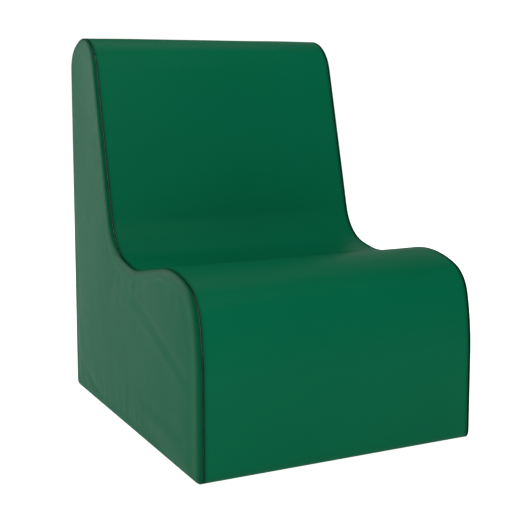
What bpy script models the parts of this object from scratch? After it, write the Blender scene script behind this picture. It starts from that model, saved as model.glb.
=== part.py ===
"""Low armless lounge chair: three glued foam blocks inside a sewn vinyl cover that closes with a zip.

Metres, +Z up. The chair faces -Y. The origin is on the floor, under the middle of the chair.
A side profile is given as points (y, z), with y counted backwards from the front face.
"""

import math

import bmesh
import bpy
import numpy as np

# ---------------------------------------------------------------- driving dimensions
HEIGHT = 0.680  # floor to the ridge of the back
DEPTH = 0.624  # front face to rear face
SEAM_WIDTH = 0.484  # between the two long side seams
SEAT_HEIGHT = 0.310  # floor to the crest of the seat's nose
SEAT_DEPTH = 0.392  # front face to the root of the back
BACK_TOP_THICKNESS = 0.130  # back, from its front corner to the rear face

SIDE_PUFF = 0.0075  # how far a side panel swells past its seam
ROLL = 0.020  # width of the rounded border where it swells
FLOOR_ROLL = 0.006  # the same along the bottom edge, where the panel stands almost flat
COVER = 0.0012  # vinyl-coated cloth
BASE_CLOTH = 0.0017  # thicker, studded base cloth
BASE_PROUD = 0.0005  # the base cloth stands this far below the vinyl
GAP = 0.0003  # clearance between pieces that touch

BASE_BLOCK_HEIGHT = 0.200  # top of the firm foam block
SEAT_PAD_DEPTH = SEAT_DEPTH - 0.012  # front face to the glue line before the back
BOTTOM_RADIUS = 0.010  # soft front and rear bottom edges
BASE_EDGE = 0.004  # vinyl turned under past the bottom radius
REAR_SEAM_DROP = 0.080  # ridge of the back down to where the strip meets the rear panel

ZIP_HEIGHT = 0.060  # floor to the middle of the zip
ZIP_DEPTH = 0.0058  # rear face to the middle of the tape
ZIP_END_MARGIN = 0.026  # side seam to the end of the coil
WINDOW_HALF = 0.0070  # half of the slot between the two folded hems
HEM_FLANGE = 0.010  # part of the hem that lies on the tape
TAPE = 0.0006
TAPE_REACH = 0.0170  # middle of the zip to the tape's outer edge
COIL_SPLIT = 0.0005  # half of the slit between the two coils
COIL_WIDTH = 0.0032
COIL_THICKNESS = 0.0026
GUARD = 0.0006
GUARD_HALF = 0.0200

SLIDER_LENGTH = 0.0170
SLIDER_PLATE = 0.0010
SLIDER_HALF_WIDTH = 0.0058
SLIDER_LIP = 0.0012  # thickness of the edges that curl round the coil
SLIDER_NOSE = 0.0025  # corner cut of its outline
SLIDER_TAPER = 0.0006  # how much narrower each side is at the tail
POST_LENGTH = 0.0060  # the wedge that parts the coils
BRIDGE_HALF_LENGTH = 0.0039
BRIDGE_HALF_WIDTH = 0.0011
BRIDGE_RISE = 0.0030
BRIDGE_WALL = 0.0008
PULLER_THICKNESS = 0.0013
PULLER_REACH = 0.0300  # hinge axis to the tip
PULLER_HALF_WIDTH = 0.0040
PULLER_ARM = 0.0016  # width of each arm beside the bridge
PULLER_WINDOW = 0.0058  # hinge axis to the end of the window
PULLER_ROUNDING = 0.0003
STOP_LENGTH = 0.0030

# Corners of the side profile, clockwise from the front bottom: y, z, radius, segments.
PROFILE = [
    (0.000, BASE_PROUD, BOTTOM_RADIUS, 5),  # front bottom
    (0.000, SEAT_HEIGHT - 0.110, 0.450, 3),  # the front starts to lean back
    (0.020, SEAT_HEIGHT - 0.024, 0.062, 7),  # nose
    (0.112, SEAT_HEIGHT + 0.0065, 0.200, 5),  # crest of the seat
    (0.290, SEAT_HEIGHT - 0.0285, 0.140, 4),  # dip of the seat
    (SEAT_DEPTH, SEAT_HEIGHT - 0.009, 0.083, 8),  # root of the back
    (DEPTH - BACK_TOP_THICKNESS, HEIGHT, 0.074, 9),  # top front
    (DEPTH - 0.058, HEIGHT, 0.065, 3),  # ridge
    (DEPTH, HEIGHT - 0.025, 0.050, 6),  # top rear
    (DEPTH, BASE_PROUD, BOTTOM_RADIUS, 5),  # rear bottom
]
FRONT_BOTTOM, TOP_REAR, REAR_BOTTOM = 0, 8, 9  # rows of the profile

# ---------------------------------------------------------------- derived places
HALF_SEAM = SEAM_WIDTH / 2
REAR_SEAM_HEIGHT = HEIGHT - REAR_SEAM_DROP
BENEATH_COVER = COVER + GAP
ZIP_Y = DEPTH - ZIP_DEPTH
COIL_END = HALF_SEAM - ZIP_END_MARGIN
COIL_REACH = COIL_SPLIT + COIL_WIDTH
PLATE_INNER = COIL_THICKNESS / 2 + GAP
PLATE_OUTER = PLATE_INNER + SLIDER_PLATE
SLIDER_X = -COIL_END + GAP + SLIDER_LENGTH / 2
HINGE_RISE = PLATE_OUTER + (BRIDGE_RISE - BRIDGE_WALL) / 2
GUARD_Y = ZIP_Y - PLATE_OUTER - GAP
CHANNEL_Y = GUARD_Y - GUARD - GAP


# ---------------------------------------------------------------- materials
def material(name, colour, roughness, metallic=0.0):
    """A plain Principled material."""
    made = bpy.data.materials.new(name)
    made.use_nodes = True
    shader = made.node_tree.nodes["Principled BSDF"]
    shader.inputs["Base Color"].default_value = (*colour, 1.0)
    shader.inputs["Roughness"].default_value = roughness
    shader.inputs["Metallic"].default_value = metallic
    return made


# ---------------------------------------------------------------- mesh helpers
def add_object(name, mesh, finish):
    """Puts a mesh into the scene as one named sub-part, smooth where it is round."""
    made = bpy.data.objects.new(name, mesh)
    bpy.context.scene.collection.objects.link(made)
    if finish:
        mesh.materials.append(finish)
    mesh.shade_smooth()
    mesh.set_sharp_from_angle(angle=math.radians(35))
    return made


def mesh_from(name, points, faces):
    """A closed mesh whose faces are turned outwards."""
    grid = bmesh.new()
    corners = [grid.verts.new(point) for point in points]
    for face in faces:
        grid.faces.new([corners[i] for i in face])
    bmesh.ops.recalc_face_normals(grid, faces=grid.faces)
    mesh = bpy.data.meshes.new(name)
    grid.to_mesh(mesh)
    grid.free()
    return mesh


def place(y_z, x):
    """Profile points (y, z) at one x, as world points."""
    y_z = np.asarray(y_z, float)
    return np.column_stack([np.full(len(y_z), x), y_z[:, 0] - DEPTH / 2, y_z[:, 1]])


def loft(name, rings, finish):
    """Joins rings of equal point count, one after another, and caps the first and the last."""
    count = len(rings[0])
    points = np.concatenate(rings).tolist()
    faces = [list(range(count)), list(range(len(points) - count, len(points)))]
    for ring in range(len(rings) - 1):
        for i in range(count):
            j = (i + 1) % count
            low, high = ring * count, (ring + 1) * count
            faces.append([low + i, low + j, high + j, high + i])
    return add_object(name, mesh_from(name, points, faces), finish)


def band(name, outer, inner, half_width, finish):
    """A sheet seen edge-on as two matching profile lines, run from side seam to side seam."""
    count = len(outer)
    rows = [place(line, x) for x in (-half_width, half_width) for line in (outer, inner)]
    points = np.concatenate(rows).tolist()
    faces = []
    for i in range(count - 1):
        for a, b in ((0, 2), (1, 3), (0, 1), (2, 3)):
            faces.append([a * count + i, a * count + i + 1, b * count + i + 1, b * count + i])
    for i in (0, count - 1):
        faces.append([i, count + i, 3 * count + i, 2 * count + i])
    return add_object(name, mesh_from(name, points, faces), finish)


def block(name, low, high, finish=None, round_edge=0.0):
    """A box between two corners given as (x, y from the front, z), with an optional rounded edge."""
    low = np.array(low, float) - (0, DEPTH / 2, 0)
    high = np.array(high, float) - (0, DEPTH / 2, 0)
    grid = bmesh.new()
    bmesh.ops.create_cube(grid, size=1.0)
    for corner in grid.verts:
        corner.co = (low + high) / 2 + np.array(corner.co) * (high - low)
    if round_edge:
        bmesh.ops.bevel(
            grid, geom=grid.edges[:], offset=round_edge, segments=2, affect="EDGES", profile=0.5
        )
    mesh = bpy.data.meshes.new(name)
    grid.to_mesh(mesh)
    grid.free()
    return add_object(name, mesh, finish)


def prism(name, outline, axis, low, high, finish=None):
    """A flat outline carried from low to high along one axis. The outline gives the other two."""
    rows = []
    for level in (low, high):
        rows.append(np.insert(np.asarray(outline, float), axis, level, axis=1))
    return loft(name, rows, finish)


def as_cutter(made):
    made.hide_render = True
    made.display_type = "WIRE"
    return made


def boolean(target, cutter, operation):
    step = target.modifiers.new(operation.lower() + "_" + cutter.name, "BOOLEAN")
    step.operation = operation
    step.object = cutter
    step.solver = "EXACT"


# ---------------------------------------------------------------- the side profile
def profile_arcs(inset, floor_inset=None):
    """The profile moved inwards by inset: one array of arc points for each of its corners.

    Each edge moves along its inward normal, and the floor edge moves by floor_inset where that
    is given. A bulging corner loses the smaller move of its two edges from its radius, and a
    hollow one gains it, so the moved outline stays parallel to the first.
    """
    corners = np.array([row[:2] for row in PROFILE])
    edges = np.roll(corners, -1, axis=0) - corners
    edges /= np.linalg.norm(edges, axis=1)[:, None]
    inward = np.column_stack([edges[:, 1], -edges[:, 0]])
    moves = np.full(len(PROFILE), float(inset))
    if floor_inset is not None:
        moves[REAR_BOTTOM] = floor_inset
    arcs = []
    for i, (_, _, radius, segments) in enumerate(PROFILE):
        before, after = edges[i - 1], edges[i]
        turn = before[0] * after[1] - before[1] * after[0]
        move = min(moves[i - 1], moves[i])
        radius = radius + move if turn > 0 else max(radius - move, 0.001)
        shift = np.linalg.solve([inward[i - 1], inward[i]], [moves[i - 1], moves[i]])
        corner = corners[i] + shift
        half = math.acos(np.clip(-before @ after, -1, 1)) / 2
        towards = after - before
        centre = corner + towards / np.linalg.norm(towards) * radius / math.sin(half)
        start = corner - before * radius / math.tan(half) - centre
        sweep = math.copysign(math.pi - 2 * half, turn)
        angles = np.linspace(0, sweep, segments + 1)
        cos, sin = np.cos(angles), np.sin(angles)
        turned = [start[0] * cos - start[1] * sin, start[0] * sin + start[1] * cos]
        arcs.append(centre + np.column_stack(turned))
    return arcs


def ring(inset, floor_inset, x):
    return place(np.concatenate(profile_arcs(inset, floor_inset)), x)


def roll_rings(side, skin, steps=4):
    """Rings over the rounded border of one side, at a depth of skin beneath the outer surface.

    The border is a quarter ellipse: ROLL wide in from the outline, or FLOOR_ROLL from the
    floor edge, and SIDE_PUFF tall.
    """
    rings = []
    for angle in np.linspace(0, math.pi / 2, steps):
        turned = 1 - math.cos(angle)
        inset = skin + (ROLL - skin) * turned
        floor_inset = skin + (FLOOR_ROLL - skin) * turned
        reach = (SIDE_PUFF - skin) * math.sin(angle)
        rings.append(ring(inset, floor_inset, side * (HALF_SEAM + GAP + reach)))
    return rings


# ---------------------------------------------------------------- foam
def foam_blocks(foam_firm, foam_soft, foam_back):
    """One cut shape, split along two glue lines into a base, a seat pad and a back."""
    rings = roll_rings(-1, BENEATH_COVER)[::-1] + roll_rings(1, BENEATH_COVER)
    far = 1.0
    over = BASE_BLOCK_HEIGHT + GAP / 2
    regions = {
        "base_foam_block": (foam_firm, (-far, -far, -far), (far, far, over - GAP)),
        "seat_foam_pad": (foam_soft, (-far, -far, over), (far, SEAT_PAD_DEPTH - GAP / 2, far)),
        "back_foam_block": (foam_back, (-far, SEAT_PAD_DEPTH + GAP / 2, over), (far, far, far)),
    }
    blocks = {}
    for name, (finish, low, high) in regions.items():
        blocks[name] = loft(name, rings, finish)
        boolean(blocks[name], as_cutter(block(name + "_region", low, high)), "INTERSECT")
    channel_half = GUARD_HALF + GAP
    low = (-far, CHANNEL_Y, ZIP_HEIGHT - channel_half)
    high = (far, DEPTH + far, ZIP_HEIGHT + channel_half)
    boolean(blocks["base_foam_block"], as_cutter(block("zip_channel", low, high)), "DIFFERENCE")


# ---------------------------------------------------------------- cover
def side_panel(name, side, vinyl):
    """A cut side of the cover: flat in the middle and rolled over to its seam all round."""
    inner = roll_rings(side, COVER)
    outer = roll_rings(side, 0.0)
    return loft(name, inner[::-1] + outer, vinyl)


def seat_back_strip(vinyl):
    """Front, seat, back and top in one strip, from under the front edge to the seam on the rear face."""
    turned_in = BOTTOM_RADIUS + BASE_EDGE
    lines = []
    for inset in (0.0, COVER):
        arcs = profile_arcs(inset)
        start = [(turned_in, BASE_PROUD + inset)]
        end = [(DEPTH - inset, REAR_SEAM_HEIGHT)]
        lines.append(np.concatenate([start, *arcs[FRONT_BOTTOM : TOP_REAR + 1], end]))
    return band("cover_seat_back_strip", *lines, HALF_SEAM, vinyl)


def hem(direction, inset):
    """The folded edge beside the zip: in from the rear face, then back over the tape.

    direction is 1 above the zip and -1 below it. inset is 0 on the outer face of the cloth.
    """
    edge = ZIP_HEIGHT + direction * (WINDOW_HALF + inset)
    fold = ZIP_Y + TAPE / 2 + GAP + inset
    end = ZIP_HEIGHT + direction * (WINDOW_HALF + HEM_FLANGE)
    return [(DEPTH - inset, edge), (fold, edge), (fold, end)]


def rear_panel(vinyl):
    lines = [[(DEPTH - inset, REAR_SEAM_HEIGHT - GAP)] + hem(1, inset) for inset in (0.0, COVER)]
    return band("cover_rear_panel", *lines, HALF_SEAM, vinyl)


def rear_skirt(vinyl):
    """The short strip below the zip, turned under the rear bottom edge."""
    lines = []
    for inset in (0.0, COVER):
        start = [(DEPTH - BOTTOM_RADIUS - BASE_EDGE, BASE_PROUD + inset)]
        arc = profile_arcs(inset)[REAR_BOTTOM][::-1]
        lines.append(np.concatenate([start, arc, hem(-1, inset)]))
    return band("cover_rear_skirt", *lines, HALF_SEAM, vinyl)


def base_panel(base_cloth):
    edge = BOTTOM_RADIUS + BASE_EDGE + GAP
    low = (-HALF_SEAM, edge, 0.0)
    high = (HALF_SEAM, DEPTH - edge, BASE_CLOTH)
    return block("cover_base_panel", low, high, base_cloth)


# ---------------------------------------------------------------- zip
def zip_strip(name, start, end, half_length, half_thick, finish, round_edge=0.0):
    """A bar along the zip. start and end count up or down from the middle of the zip."""
    low = (-half_length, ZIP_Y - half_thick, ZIP_HEIGHT + min(start, end))
    high = (half_length, ZIP_Y + half_thick, ZIP_HEIGHT + max(start, end))
    return block(name, low, high, finish, round_edge)


def zip_halves(tape, coil):
    """Tape and coil above and below the slit."""
    tape_start = COIL_REACH + GAP
    for word, up in (("upper", 1), ("lower", -1)):
        zip_strip(f"zip_tape_{word}", up * tape_start, up * TAPE_REACH, HALF_SEAM - GAP, TAPE / 2, tape)
        half = COIL_THICKNESS / 2
        zip_strip(f"zip_coil_{word}", up * COIL_SPLIT, up * COIL_REACH, COIL_END, half, coil, 0.0005)


def zip_stops(metal):
    """One staple at the open end, and one for each tape at the closed end."""
    half = COIL_THICKNESS / 2
    for name, x, low, high in (
        ("zip_bottom_stop", COIL_END + GAP, -COIL_REACH, COIL_REACH),
        ("zip_top_stop_upper", -COIL_END - GAP - STOP_LENGTH, COIL_SPLIT, COIL_REACH),
        ("zip_top_stop_lower", -COIL_END - GAP - STOP_LENGTH, -COIL_REACH, -COIL_SPLIT),
    ):
        start = (x, ZIP_Y - half, ZIP_HEIGHT + low)
        end = (x + STOP_LENGTH, ZIP_Y + half, ZIP_HEIGHT + high)
        block(name, start, end, metal, 0.0004)


def zip_guard(vinyl):
    low = (-HALF_SEAM + GAP, GUARD_Y - GUARD, ZIP_HEIGHT - GUARD_HALF)
    high = (HALF_SEAM - GAP, GUARD_Y, ZIP_HEIGHT + GUARD_HALF)
    return block("zip_guard", low, high, vinyl)


def zip_slider(metal):
    """Two plates joined by a post, with lips round the coils and a bridge that holds the puller.

    Its own frame is centred on the tape: X along the zip, Y out of the rear face, Z up.
    """
    half = SLIDER_LENGTH / 2
    wide, inside = SLIDER_HALF_WIDTH, SLIDER_HALF_WIDTH - SLIDER_LIP
    lip_inner = TAPE / 2 + GAP
    upper = np.array(
        [(PLATE_INNER, inside), (lip_inner, inside), (lip_inner, wide), (PLATE_OUTER, wide)]
    )
    section = np.concatenate([upper, upper[::-1] * (1, -1)])
    made = prism("zip_slider", section, 0, -half, half, metal)
    back_plate = prism("slider_back_plate", section * (-1, 1), 0, -half, half)

    middle = (PLATE_INNER + PLATE_OUTER) / 2
    post_half = COIL_SPLIT - GAP
    post_plan = [(-half, -post_half), (-half, post_half), (POST_LENGTH - half, post_half)]
    post_plan.append((POST_LENGTH - half, -post_half))
    post = prism("slider_post", post_plan, 1, -middle, middle)

    nose = [(-half, wide - SLIDER_NOSE), (-half + SLIDER_NOSE, wide)]
    tail = [(half - SLIDER_NOSE, wide - SLIDER_TAPER), (half, wide - SLIDER_TAPER - SLIDER_NOSE)]
    side = np.array(nose + tail)
    plan = prism("slider_plan", np.concatenate([side, side[::-1] * (1, -1)]), 1, -0.1, 0.1)

    reach, wall = BRIDGE_HALF_LENGTH, BRIDGE_WALL
    top = PLATE_OUTER + BRIDGE_RISE
    leg = [(reach - wall, top - wall), (reach - wall, middle), (reach, middle), (reach, top - wall)]
    arm = np.array(leg + [(reach - wall, top)])
    arch = np.concatenate([arm, arm[::-1] * (-1, 1)])
    bridge = prism("slider_bridge", arch, 2, -BRIDGE_HALF_WIDTH, BRIDGE_HALF_WIDTH)

    for helper, operation in (
        (back_plate, "UNION"),
        (post, "UNION"),
        (plan, "INTERSECT"),
        (bridge, "UNION"),
    ):
        boolean(made, as_cutter(helper), operation)
        helper.parent = made
    made.location = (SLIDER_X, ZIP_Y - DEPTH / 2, ZIP_HEIGHT)
    return made


def zip_puller(metal, slider):
    """A flat tab with a window, hinged on the bar that passes under the slider's bridge."""
    half = PULLER_THICKNESS / 2
    opening = BRIDGE_HALF_WIDTH + GAP
    neck = opening + PULLER_ARM
    shoulder = PULLER_WINDOW + PULLER_HALF_WIDTH
    tip = PULLER_REACH - PULLER_HALF_WIDTH / 2
    side = np.array(
        [
            (-half, neck),
            (PULLER_WINDOW, neck),
            (shoulder, PULLER_HALF_WIDTH),
            (tip, PULLER_HALF_WIDTH),
            (PULLER_REACH, PULLER_HALF_WIDTH / 2),
        ]
    )
    plan = np.concatenate([side, side[::-1] * (1, -1)])
    made = prism("zip_puller", plan, 1, -half, half, metal)
    window = [(half, -opening), (half, opening), (PULLER_WINDOW, opening), (PULLER_WINDOW, -opening)]
    cutter = as_cutter(prism("puller_window", window, 1, -0.1, 0.1))
    cutter.parent = made
    boolean(made, cutter, "DIFFERENCE")
    soften = made.modifiers.new("soft_edges", "BEVEL")
    soften.width = PULLER_ROUNDING
    soften.segments = 2
    soften.limit_method = "ANGLE"
    made.parent = slider
    made.location = (0.0, HINGE_RISE, 0.0)
    return made


# ---------------------------------------------------------------- build
def main():
    for old in list(bpy.data.objects):
        bpy.data.objects.remove(old, do_unlink=True)

    vinyl = material("green_vinyl", (0.004, 0.115, 0.052), 0.45)
    base_cloth = material("non_slip_cloth", (0.020, 0.022, 0.022), 0.85)
    foam_firm = material("firm_foam", (0.42, 0.44, 0.46), 0.95)
    foam_soft = material("soft_foam", (0.80, 0.76, 0.60), 0.95)
    foam_back = material("back_foam", (0.62, 0.66, 0.68), 0.95)
    tape = material("zip_tape", (0.010, 0.060, 0.032), 0.80)
    coil = material("zip_coil", (0.008, 0.045, 0.025), 0.45)
    metal = material("zip_metal", (0.50, 0.50, 0.50), 0.30, 1.0)

    foam_blocks(foam_firm, foam_soft, foam_back)
    side_panel("cover_left_panel", -1, vinyl)
    side_panel("cover_right_panel", 1, vinyl)
    seat_back_strip(vinyl)
    rear_panel(vinyl)
    rear_skirt(vinyl)
    base_panel(base_cloth)
    zip_halves(tape, coil)
    zip_stops(metal)
    zip_guard(tape)
    zip_puller(metal, zip_slider(metal))


main()
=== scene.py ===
# %% [markdown]
# # A low foam lounge chair in a sewn vinyl cover
#
# The chair is three foam blocks glued together and dressed in one vinyl cover: a long strip for the front,
# seat, back and top, two cut side panels, a rear panel that closes with a zip, and a studded non-slip base.
# The measured model is loaded first as a fixed frame. It already holds every size and place, so the looks
# are built round it: smooth upholstery surfaces that follow the same side profile, seams that sink between
# the panels, a zip with real coils, and procedural finishes.

# %% Load the frame
import math

import bpy
import numpy as np
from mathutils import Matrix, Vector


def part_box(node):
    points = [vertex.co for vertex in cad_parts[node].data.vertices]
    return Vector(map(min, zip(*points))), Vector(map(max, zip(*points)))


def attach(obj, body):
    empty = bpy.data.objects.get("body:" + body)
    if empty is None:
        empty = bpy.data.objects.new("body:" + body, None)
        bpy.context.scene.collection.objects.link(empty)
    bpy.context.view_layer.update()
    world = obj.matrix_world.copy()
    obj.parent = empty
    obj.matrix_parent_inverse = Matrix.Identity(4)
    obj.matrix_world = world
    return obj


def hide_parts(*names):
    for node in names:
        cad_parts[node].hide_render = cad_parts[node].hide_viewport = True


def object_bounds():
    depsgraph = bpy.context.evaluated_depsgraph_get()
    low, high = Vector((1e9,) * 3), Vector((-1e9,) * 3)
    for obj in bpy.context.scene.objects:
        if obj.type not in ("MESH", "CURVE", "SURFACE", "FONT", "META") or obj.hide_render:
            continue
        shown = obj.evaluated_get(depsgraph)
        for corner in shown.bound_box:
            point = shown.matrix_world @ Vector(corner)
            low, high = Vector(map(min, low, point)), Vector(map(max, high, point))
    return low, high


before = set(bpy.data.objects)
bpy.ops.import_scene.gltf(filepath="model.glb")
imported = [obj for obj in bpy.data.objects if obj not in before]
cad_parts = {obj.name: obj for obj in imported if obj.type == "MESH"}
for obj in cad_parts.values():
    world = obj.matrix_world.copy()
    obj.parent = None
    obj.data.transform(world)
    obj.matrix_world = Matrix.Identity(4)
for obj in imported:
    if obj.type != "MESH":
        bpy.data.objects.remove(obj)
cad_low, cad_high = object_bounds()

SCENE = bpy.context.scene

# %% [markdown]
# ## Driving sizes
#
# The overall sizes are read from the frame, so a changed model brings its looks along. What the frame cannot
# say, such as how wide a seam's valley is, is named here once. Everything is in metres, and `y` in a side
# profile is counted backwards from the front face, as on the maker's paper pattern.

# %% Sizes
HEIGHT = cad_high.z
DEPTH = cad_high.y - cad_low.y
strip_low, strip_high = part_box("cover_seat_back_strip")
side_low, side_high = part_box("cover_right_panel")
base_low, base_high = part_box("cover_base_panel")
HALF_SEAM = strip_high.x
BASE_PROUD = strip_low.z
GAP = side_low.x - HALF_SEAM  # clearance between two sewn panels
SIDE_PUFF = side_high.x - side_low.x  # how far a side panel swells past its seam
SEAT_HEIGHT = 0.310
SEAT_DEPTH = 0.392
BACK_TOP_THICKNESS = 0.130
BOTTOM_RADIUS = 0.010
REAR_SEAM_HEIGHT = HEIGHT - 0.080  # where the strip meets the rear panel
UNDER_EDGE = base_low.y - cad_low.y - GAP  # where the strip ends beneath the front
tape_low, tape_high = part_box("zip_tape_upper")
coil_low, coil_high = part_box("zip_coil_upper")
lower_low, lower_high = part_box("zip_coil_lower")
rear_low, rear_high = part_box("cover_rear_panel")
ZIP_HEIGHT = (coil_low.z + lower_high.z) / 2
WINDOW_HALF = rear_low.z - ZIP_HEIGHT  # half of the slot between the two folded hems
TAPE_FACE = tape_high.y + DEPTH / 2  # rear face of the tape, counted from the front
HEM_FLANGE = 0.010  # part of a hem that lies on the tape
HEM_FOLD = 0.0012  # radius of its folds
ROLL = 0.015  # width of a side panel's rounded border, tighter than the plain solid's
FLOOR_ROLL = 0.006  # the same along the floor edge
VINYL = 0.0009  # wall of the coated cloth, a little thin so that neighbours stay clear
CURL = 0.0013  # radius at which both panels turn into a seam
WIDTH = 2 * (HALF_SEAM + SIDE_PUFF)
print(f"chair {1000 * WIDTH:.0f} mm wide, {1000 * DEPTH:.0f} deep, {1000 * HEIGHT:.0f} high")

# %% [markdown]
# ## The camera
#
# A long lens from a little below the top of the back, about 26 degrees to the left of straight ahead. The small
# vertical shift does what a view camera does: it keeps upright edges close to upright in the picture.

# %% Camera
CAMERA_PLACE = (-0.859, -1.742, 0.609)
CAMERA_TURN = 26.46  # degrees to the right of straight ahead
CAMERA_TILT = 6.96  # degrees down
CAMERA_LENS = 74.67  # mm, on a 36 mm sensor
CAMERA_SHIFT = -0.10  # share of the picture
camera_data = bpy.data.cameras.new("camera")
camera_data.lens = CAMERA_LENS
camera_data.sensor_width = 36.0
camera_data.shift_y = CAMERA_SHIFT
camera = bpy.data.objects.new("camera", camera_data)
camera.location = CAMERA_PLACE
camera.rotation_euler = (math.radians(90 - CAMERA_TILT), 0, math.radians(-CAMERA_TURN))
SCENE.collection.objects.link(camera)
SCENE.camera = camera
print("camera", CAMERA_PLACE)

# %% [markdown]
# ## Studio
#
# Plain soft light on a pale floor. A satin vinyl shows what stands around it, so the lamps matter as much as
# the colour: a large soft lamp behind on the left gives the grey lift on the side panel, and the room itself
# gives almost no light, so that the front keeps its deep green. The floor is lifted to the white of the room.

# %% Studio
def soft_lamp(name, place, target, size, glow):
    """A square area lamp at place that faces target. glow is how bright its face looks, white being 1."""
    lamp = bpy.data.lights.new(name, "AREA")
    lamp.size = size
    lamp.energy = glow * math.pi * size**2
    holder = bpy.data.objects.new(name, lamp)
    aim = np.subtract(target, place)
    across = math.hypot(aim[0], aim[1])
    holder.rotation_euler = (math.atan2(across, -aim[2]), 0, math.atan2(-aim[0], aim[1]))
    holder.location = place
    holder.visible_camera = False
    SCENE.collection.objects.link(holder)
    return holder


def seen_or_lit(tree, seen, lit):
    """A number that is seen for what the camera looks at and lit for the light that is passed on."""
    ray = tree.nodes.new("ShaderNodeLightPath")
    level = tree.nodes.new("ShaderNodeMapRange")
    level.inputs["To Min"].default_value = lit
    level.inputs["To Max"].default_value = seen
    tree.links.new(ray.outputs["Is Camera Ray"], level.inputs["Value"])
    return level.outputs["Result"]


def room_light(seen, lit):
    """A pale room all round."""
    world = bpy.data.worlds.new("room")
    world.use_nodes = True
    tree = world.node_tree
    tree.nodes["Background"].inputs["Color"].default_value = (1, 1, 1, 1)
    tree.links.new(seen_or_lit(tree, seen, lit), tree.nodes["Background"].inputs["Strength"])
    SCENE.world = world


def floor_plane():
    """A pale floor, wide enough for every view, that runs into the room without an edge."""
    size, drop = 14.0, -0.0004
    mesh = bpy.data.meshes.new("floor")
    corners = [(-size, -size, drop), (size, -size, drop), (size, size, drop), (-size, size, drop)]
    mesh.from_pydata(corners, [], [(0, 1, 2, 3)])
    plane = bpy.data.objects.new("floor", mesh)
    SCENE.collection.objects.link(plane)
    paint = bpy.data.materials.new("pale_floor")
    paint.use_nodes = True
    tree = paint.node_tree
    shader = tree.nodes["Principled BSDF"]
    shader.inputs["Base Color"].default_value = (0.85, 0.85, 0.85, 1)
    shader.inputs["Roughness"].default_value = 0.9
    shader.inputs["Specular IOR Level"].default_value = 0.0
    shader.inputs["Emission Color"].default_value = (1, 1, 1, 1)
    tree.links.new(seen_or_lit(tree, *FLOOR_GLOW), shader.inputs["Emission Strength"])
    mesh.materials.append(paint)


ROOM_SEEN, ROOM_LIT = 1.05, 0.04  # the room as the camera sees it and as light that it gives
FLOOR_GLOW = (1.05, 0.32)  # the same for the floor, which is lifted to the white of the room
CHAIR_MIDDLE = (0.0, 0.0, 0.3)
SCENE.view_settings.view_transform = "Standard"
room_light(ROOM_SEEN, ROOM_LIT)
floor_plane()
LAMPS = [
    # name, place, size, glow
    ("front", (-0.7, -2.2, 2.5), 2.0, 5.4),
    ("back_left", (-2.4, 2.8, 1.3), 2.4, 3.75),
    ("back_right", (2.4, 2.8, 1.6), 2.4, 0.4),
    ("right", (3.2, -0.2, 1.4), 2.0, 0.8),
    ("top_front", (0.2, -1.2, 3.2), 2.0, 0.7),
    ("top_back", (0.3, 1.2, 3.2), 2.0, 1.3),
]
for lamp_name, lamp_place, lamp_size, lamp_glow in LAMPS:
    soft_lamp(lamp_name, lamp_place, CHAIR_MIDDLE, lamp_size, lamp_glow)

# %% [markdown]
# ## Surfaces as grids of numbers
#
# Every new piece is a surface worked out at once for a whole grid of points. `grid_faces` joins neighbours
# into four-sided faces, and `surface` puts the arrays into a mesh. Sewing and weaving follow the surface, so
# a piece can also carry a map in metres and a mask that says how near a point is to a seam.

# %% Mesh helpers
def grid_faces(rows, columns, around=False):
    """Corner numbers of the faces of a rows by columns grid. around joins the last column to the first."""
    i, j = np.meshgrid(np.arange(rows - 1), np.arange(columns - (not around)), indexing="ij")
    nxt = (j + 1) % columns
    faces = np.stack([i * columns + j, i * columns + nxt, (i + 1) * columns + nxt, (i + 1) * columns + j], -1)
    return faces.reshape(-1, 4)


def finish_mesh(piece, finish, sharp=40):
    """Gives a piece its finish and smooth shading that stays crisp at sharp corners."""
    piece.data.materials.clear()
    if finish:
        piece.data.materials.append(finish)
    piece.data.shade_smooth()
    piece.data.set_sharp_from_angle(angle=math.radians(sharp))
    return piece


def surface(name, points, faces, finish=None, masks=None, uv=None):
    """A mesh object from an array of points and one or more arrays of faces.

    masks holds one number per point under a name. uv holds two numbers per point, in metres.
    """
    points = np.asarray(points, np.float32).reshape(-1, 3)
    lists = faces if isinstance(faces, list) else [faces]
    mesh = bpy.data.meshes.new(name)
    mesh.from_pydata(points, [], [face for part in lists for face in part.tolist()])
    for label, values in (masks or {}).items():
        attribute = mesh.attributes.new(label, "FLOAT", "POINT")
        attribute.data.foreach_set("value", np.asarray(values, np.float32).ravel())
    if uv is not None:
        corners = np.empty(len(mesh.loops), np.int32)
        mesh.loops.foreach_get("vertex_index", corners)
        layer = mesh.uv_layers.new(name="along")
        layer.data.foreach_set("uv", np.asarray(uv, np.float32).reshape(-1, 2)[corners].ravel())
    piece = bpy.data.objects.new(name, mesh)
    SCENE.collection.objects.link(piece)
    return finish_mesh(piece, finish)


def thicken(piece, wall=VINYL):
    """Gives a sheet its wall, inwards from the outer face, with closed edges."""
    step = piece.modifiers.new("wall", "SOLIDIFY")
    step.thickness = wall
    step.offset = -1.0
    step.use_rim = True
    step.use_even_offset = True
    return piece


def triangles(piece):
    """How many triangles the finished piece has."""
    shown = piece.evaluated_get(bpy.context.evaluated_depsgraph_get()).to_mesh()
    shown.calc_loop_triangles()
    return len(shown.loop_triangles)


def waves(u, v, seed, length, count=18):
    """Smooth unevenness between about -1 and 1: a sum of cosines of random direction, length and phase."""
    chance = np.random.default_rng(seed)
    turn = chance.uniform(0, 2 * math.pi, count)
    pitch = length * chance.uniform(0.7, 1.6, count)
    phase = chance.uniform(0, 2 * math.pi, count)
    total = np.zeros(np.broadcast(u, v).shape)
    for a, p, start in zip(turn, pitch, phase):
        total += np.cos(2 * math.pi * (u * math.cos(a) + v * math.sin(a)) / p + start)
    return total / math.sqrt(2 * count)


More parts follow.
